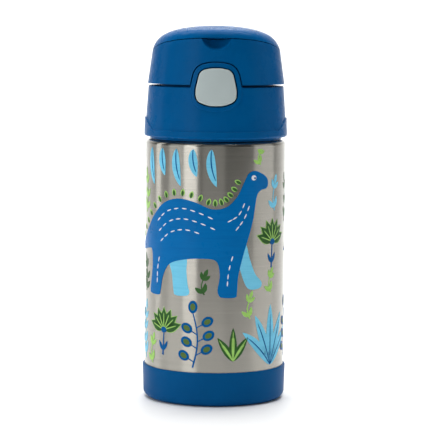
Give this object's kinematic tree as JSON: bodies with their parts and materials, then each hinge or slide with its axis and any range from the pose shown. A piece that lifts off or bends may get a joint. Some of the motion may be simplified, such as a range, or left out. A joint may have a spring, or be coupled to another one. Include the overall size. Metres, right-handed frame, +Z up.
{
  "type": "kids water bottle",
  "caption": "Insulated steel drinking bottle for a child, with a screw-on flip lid, push button, folding straw spout, fold-up carry handle and soft base bumper.",
  "frame": {"origin": "centre of the underside, on the surface the bottle stands on", "axes": "+Z up along the bottle's axis; the push button faces -Y; the lid's hinge is at +Y"},
  "size_m": [0.0732, 0.0732, 0.19],
  "materials": {
    "steel": "brushed",
    "steel_inner": "satin",
    "steel_base": "satin",
    "foil": "bright",
    "getter": "matt",
    "seal_metal": "satin",
    "bumper_blue": "satin",
    "gasket_silicone": "satin",
    "lid_blue": "satin",
    "insert_plastic": "satin",
    "pin_steel": "ground",
    "spring_steel": "bright",
    "seat_plastic": "satin",
    "spout_silicone": "satin",
    "straw_plastic": "satin",
    "valve_silicone": "satin",
    "cover_blue": "satin",
    "handle_blue": "satin",
    "spout_tip_silicone": "satin",
    "button_grey": "satin",
    "latch_plastic": "satin",
    "button_spring_steel": "bright"
  },
  "bodies": {
    "bottle": {"outer_shell": "steel", "inner_flask": "steel_inner", "base_plate": "steel_base", "heat_foil": "foil", "getter": "getter", "seal_plug": "seal_metal", "base_bumper": "bumper_blue"},
    "gasket": {"lid_gasket": "gasket_silicone"},
    "lid": {"lid_base": "lid_blue", "thread_insert": "insert_plastic", "hinge_pin": "pin_steel", "hinge_spring": "spring_steel", "spring_seat": "seat_plastic", "spout_base": "spout_silicone", "straw": "straw_plastic", "vent_valve": "valve_silicone"},
    "cover": {"cover": "cover_blue"},
    "handle": {"carry_handle": "handle_blue"},
    "spout": {"spout_tip": "spout_tip_silicone"},
    "button": {"push_button": "button_grey", "button_latch": "latch_plastic", "button_spring": "button_spring_steel"}
  },
  "joints": [
    {"name": "lid_lift", "type": "slide", "parent": "bottle", "child": "gasket", "axis": [0, 0, 1], "range_m": [0, 0.0082]},
    {"name": "lid_turn", "type": "hinge", "parent": "gasket", "child": "lid", "pos_m": [0, 0, 0.14], "axis": [0, 0, 1], "range_deg": [0, 720]},
    {"name": "cover_open", "type": "hinge", "parent": "lid", "child": "cover", "pos_m": [0, 0.033, 0.1615], "axis": [-1, 0, 0], "range_deg": [0, 105]},
    {"name": "handle_lift", "type": "hinge", "parent": "cover", "child": "handle", "pos_m": [0, 0.008, 0.182], "axis": [-1, 0, 0], "range_deg": [0, 95]},
    {"name": "spout_fold", "type": "hinge", "parent": "lid", "child": "spout", "pos_m": [0, 0.01, 0.158], "axis": [-1, 0, 0], "range_deg": [0, 75]},
    {"name": "button_press", "type": "slide", "parent": "lid", "child": "button", "axis": [0, 1, 0], "range_m": [0, 0.0018], "stiffness_N_per_m": 600, "deforming": ["button_spring"]}
  ],
  "couplings": [
    {"joint": "lid_lift", "follows": "lid_turn", "m_per_rad": 0.00063662},
    {"joint": "spout_fold", "follows": "cover_open", "ratio": 0.7}
  ]
}
